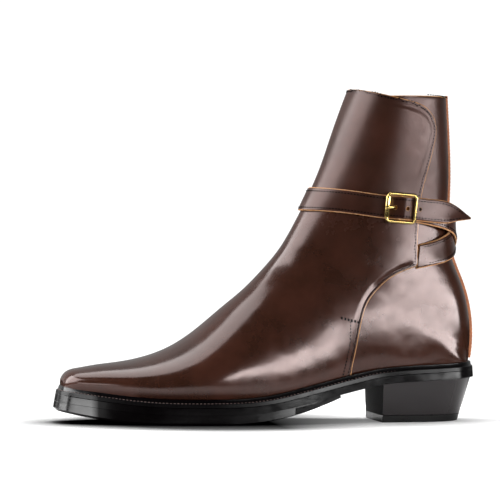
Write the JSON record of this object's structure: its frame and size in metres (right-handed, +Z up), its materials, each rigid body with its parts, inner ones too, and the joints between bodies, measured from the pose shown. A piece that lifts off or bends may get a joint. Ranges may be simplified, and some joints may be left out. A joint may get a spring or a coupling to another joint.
{
  "type": "jodhpur boot",
  "caption": "Left jodhpur ankle boot in chocolate leather with a strap wrapped round the ankle, a brass roller buckle, a chiselled toe and an underslung heel.",
  "frame": {"origin": "centre of the boot's outline seen from above, at floor level", "axes": "+X towards the heel, so the toe points along -X; +Y towards the inner (medial) side, so the buckle faces -Y; +Z up"},
  "size_m": [0.2994, 0.103, 0.2351],
  "materials": {
    "upper_leather": "polished, chocolate brown",
    "strap_leather": "polished, chocolate brown",
    "piping_leather": "undyed tan",
    "sole_leather": "black, polished edge",
    "heel_rubber": "matt black",
    "insole_leather": "natural, matt",
    "brass": "polished"
  },
  "bodies": {
    "root": {"upper": "upper_leather", "front_panel": "upper_leather", "back_piping": "piping_leather", "insole": "insole_leather", "welt": "sole_leather", "heel_rand": "sole_leather", "midsole": "sole_leather", "outsole": "sole_leather", "heel_stack": "sole_leather", "heel_top_piece": "heel_rubber", "billet_strap": "strap_leather", "chape_strap": "strap_leather", "buckle_frame": "brass", "buckle_roller": "brass", "buckle_prong": "brass"}
  },
  "joints": []
}
